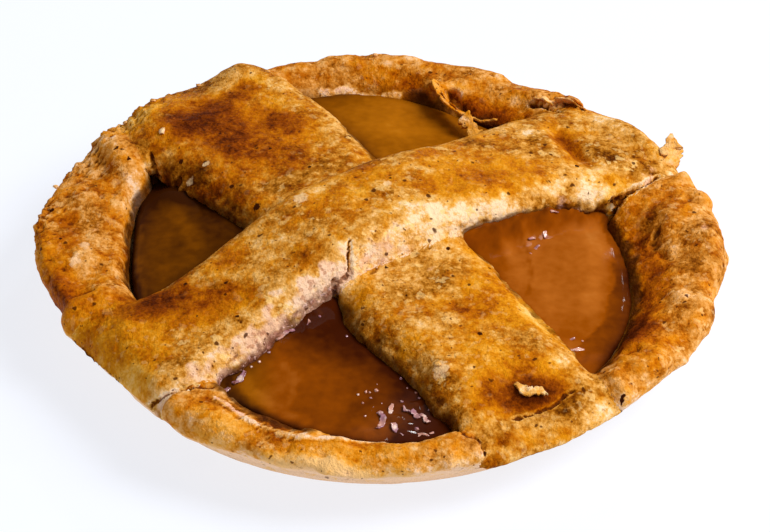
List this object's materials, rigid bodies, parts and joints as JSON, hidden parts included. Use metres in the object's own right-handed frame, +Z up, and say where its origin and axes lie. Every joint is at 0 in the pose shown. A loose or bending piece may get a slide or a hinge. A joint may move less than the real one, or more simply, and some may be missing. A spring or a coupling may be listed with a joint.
{
  "type": "linzer tart",
  "caption": "Round single-serving linzer tart: a rough hand-pressed pastry case filled with jam, under two wide crossed pastry strips pressed into its rim.",
  "frame": {"origin": "middle of the flat underside, on the surface that the tart stands on", "axes": "+Z up out of the rim, +X to the right and -Y to the front of the stored view, in which the upper strip runs from the front left to the back right"},
  "size_m": [0.0924, 0.0902, 0.0193],
  "materials": {
    "crust": "matte, rough baked crust, golden to orange brown",
    "strip_crust": "satin baked crust, golden with darker browned patches",
    "jam": "glossy set jam, amber to dark amber"
  },
  "bodies": {
    "root": {"pastry_case": "crust", "jam_filling": "jam", "lattice_strip_under": "strip_crust", "lattice_strip_over": "strip_crust"}
  },
  "joints": []
}
